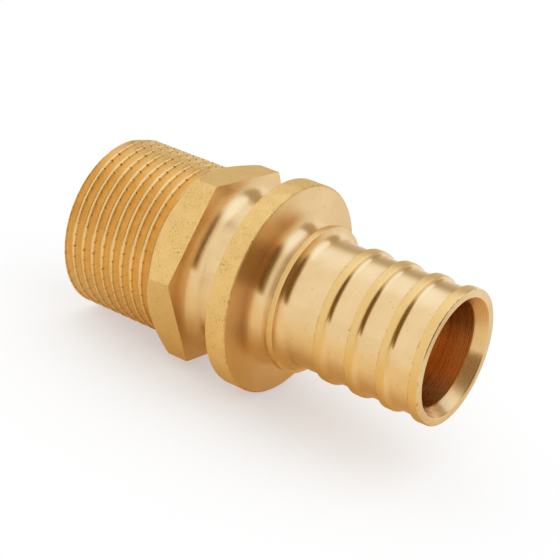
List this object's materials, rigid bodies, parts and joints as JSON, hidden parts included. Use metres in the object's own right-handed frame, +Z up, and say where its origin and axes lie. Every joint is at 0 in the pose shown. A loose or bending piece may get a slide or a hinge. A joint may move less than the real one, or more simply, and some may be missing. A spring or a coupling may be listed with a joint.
{
  "type": "threaded adapter",
  "caption": "Turned brass pipe adapter: male pipe thread, spanner hexagon, flange and a ribbed spigot for plastic pipe, on one through bore.",
  "frame": {"origin": "on the surface that the adapter lies on, under the centre of its bounding box", "axes": "+X along the adapter from its threaded end to its spigot, +Z up. The adapter's own axis lies in the XZ plane and rises 5.25 degrees towards the spigot, because it rests on the thread and the wider flange; one flat of the hexagon faces down."},
  "size_m": [0.0616, 0.0316, 0.0317],
  "materials": {
    "brass": "turned and lightly blasted brass, satin"
  },
  "bodies": {
    "root": {"adapter_body": "brass"}
  },
  "joints": []
}
